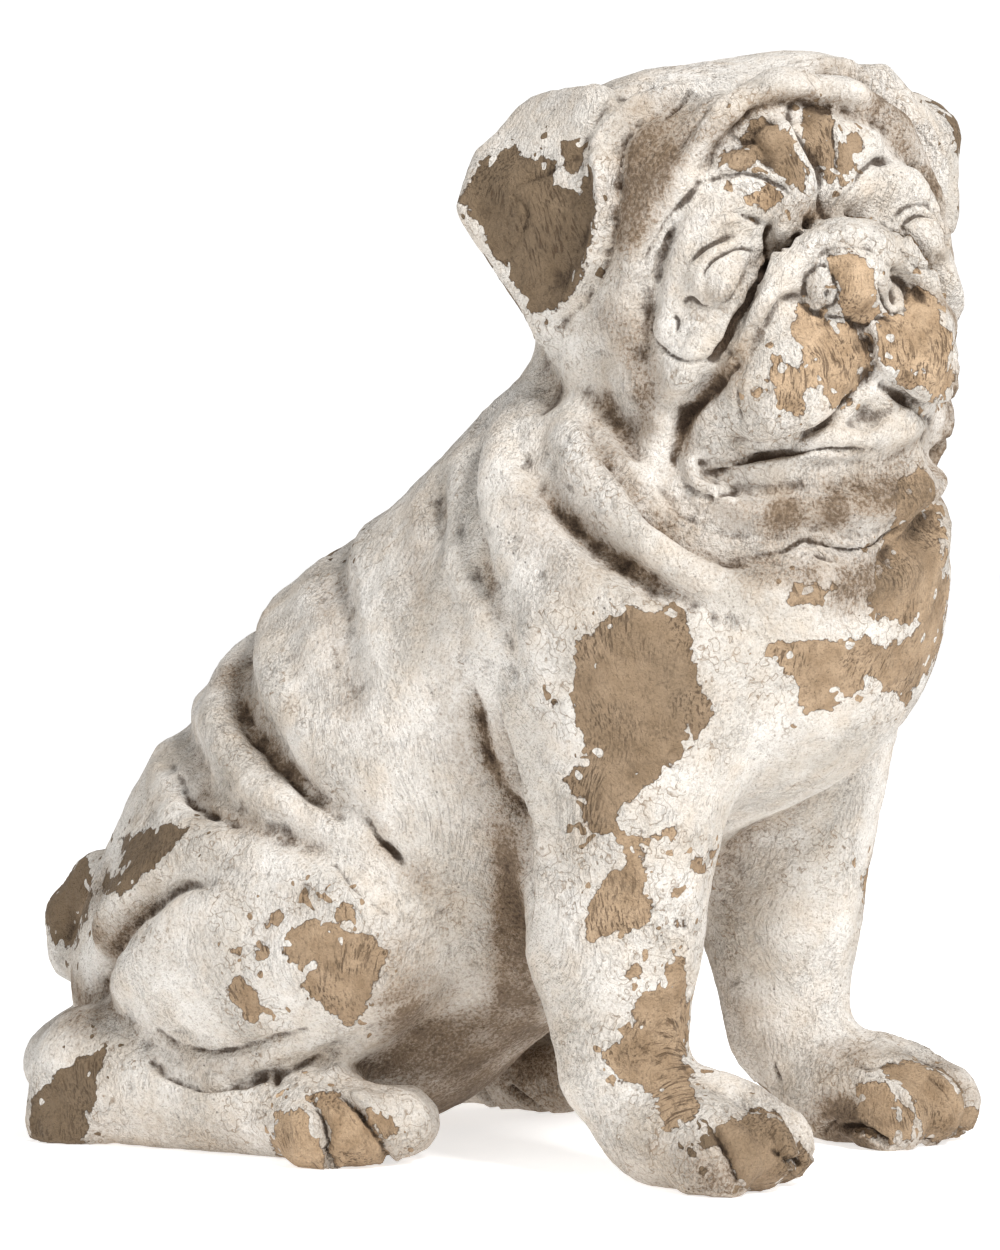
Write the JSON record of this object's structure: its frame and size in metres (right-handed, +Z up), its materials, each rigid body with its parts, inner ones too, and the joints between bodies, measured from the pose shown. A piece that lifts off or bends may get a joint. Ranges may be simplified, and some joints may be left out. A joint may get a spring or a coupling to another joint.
{
  "type": "dog garden statue",
  "caption": "Seated pug garden statue, head turned to its right, loose skin in folds, cast stone with a worn whitewash, standing by its own weight.",
  "frame": {"origin": "middle of the statue's footprint box, on the ground", "axes": "+Z up, the dog faces -Y, its left side is +X"},
  "size_m": [0.237, 0.4352, 0.44],
  "materials": {
    "statue": "matt cast stone under worn whitewash"
  },
  "bodies": {
    "root": {"statue": "statue"}
  },
  "joints": []
}
